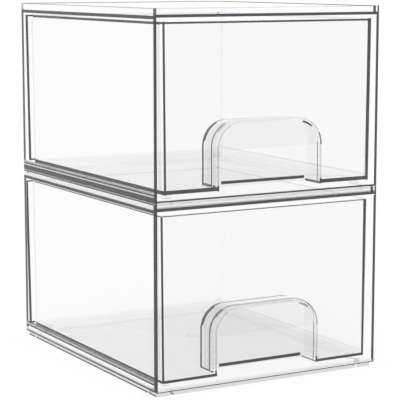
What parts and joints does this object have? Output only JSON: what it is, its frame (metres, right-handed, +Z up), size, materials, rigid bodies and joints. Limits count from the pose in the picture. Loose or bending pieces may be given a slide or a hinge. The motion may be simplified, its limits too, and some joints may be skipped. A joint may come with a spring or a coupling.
{
  "type": "stackable drawer box",
  "caption": "Stack of clear box cases, each with a pull-out drawer that has an arched finger pocket moulded inwards and a lip to pull on.",
  "frame": {"origin": "middle of the lower case's footprint, on the surface its feet stand on", "axes": "+X to the right seen from the front, the drawers pull out towards -Y, +Z up"},
  "size_m": [0.236, 0.286, 0.3412],
  "materials": {
    "case_plastic": "clear, polished",
    "drawer_plastic": "clear, polished",
    "pad_plastic": "clear, soft"
  },
  "bodies": {
    "lower_case": {"lower_case": "case_plastic"},
    "upper_case": {"upper_case": "case_plastic"},
    "lower_drawer": {"lower_drawer": "drawer_plastic", "lower_pad_front_left": "pad_plastic", "lower_pad_front_right": "pad_plastic", "lower_pad_rear_left": "pad_plastic", "lower_pad_rear_right": "pad_plastic"},
    "upper_drawer": {"upper_drawer": "drawer_plastic", "upper_pad_front_left": "pad_plastic", "upper_pad_front_right": "pad_plastic", "upper_pad_rear_left": "pad_plastic", "upper_pad_rear_right": "pad_plastic"}
  },
  "joints": [
    {"name": "lower_drawer_slide", "type": "slide", "parent": "lower_case", "child": "lower_drawer", "axis": [0, -1, 0], "range_m": [0, 0.22]},
    {"name": "upper_case_lift", "type": "slide", "parent": "lower_case", "child": "upper_case", "axis": [0, 0, 1], "range_m": [0, 0.2]},
    {"name": "upper_drawer_slide", "type": "slide", "parent": "upper_case", "child": "upper_drawer", "axis": [0, -1, 0], "range_m": [-0.0033, 0.2167]}
  ]
}
